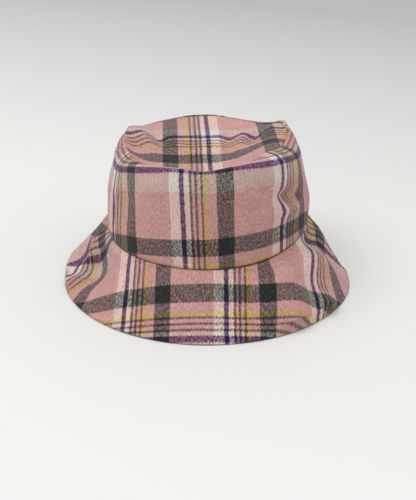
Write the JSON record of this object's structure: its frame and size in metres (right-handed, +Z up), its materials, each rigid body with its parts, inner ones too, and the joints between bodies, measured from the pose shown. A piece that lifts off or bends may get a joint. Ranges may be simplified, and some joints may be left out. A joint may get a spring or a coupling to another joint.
{
  "type": "bucket hat",
  "caption": "Soft bucket hat in plaid flannel with a flat tip, an upright band and a wide brim that slopes down; lined, with a sweatband, for an adult head.",
  "frame": {"origin": "under the middle of the hat, on the surface that its brim rests on", "axes": "+Z up through the crown; -Y to the wearer's front; the side seams of the crown and the brim at -X and +X"},
  "size_m": [0.274, 0.2904, 0.1325],
  "materials": {
    "plaid_flannel": "brushed twill, matt, plaid",
    "interfacing": "plain woven, matt",
    "cotton_lining": "plain woven cotton, matt",
    "cotton_sweatband": "cotton twill tape, matt",
    "thread": "spun polyester thread"
  },
  "bodies": {
    "root": {"crown_tip": "plaid_flannel", "crown_band_front": "plaid_flannel", "crown_band_back": "plaid_flannel", "brim_top_front": "plaid_flannel", "brim_top_back": "plaid_flannel", "brim_under_front": "plaid_flannel", "brim_under_back": "plaid_flannel", "tip_interfacing": "interfacing", "band_interfacing_front": "interfacing", "band_interfacing_back": "interfacing", "brim_interlining_front": "interfacing", "brim_interlining_back": "interfacing", "lining_tip": "cotton_lining", "lining_band_front": "cotton_lining", "lining_band_back": "cotton_lining", "sweatband": "cotton_sweatband", "tip_seam_thread": "thread", "brim_seam_thread": "thread", "brim_edge_thread": "thread", "sweatband_thread": "thread", "crown_left_seam_thread": "thread", "crown_right_seam_thread": "thread", "brim_left_seam_thread": "thread", "brim_right_seam_thread": "thread"}
  },
  "joints": []
}
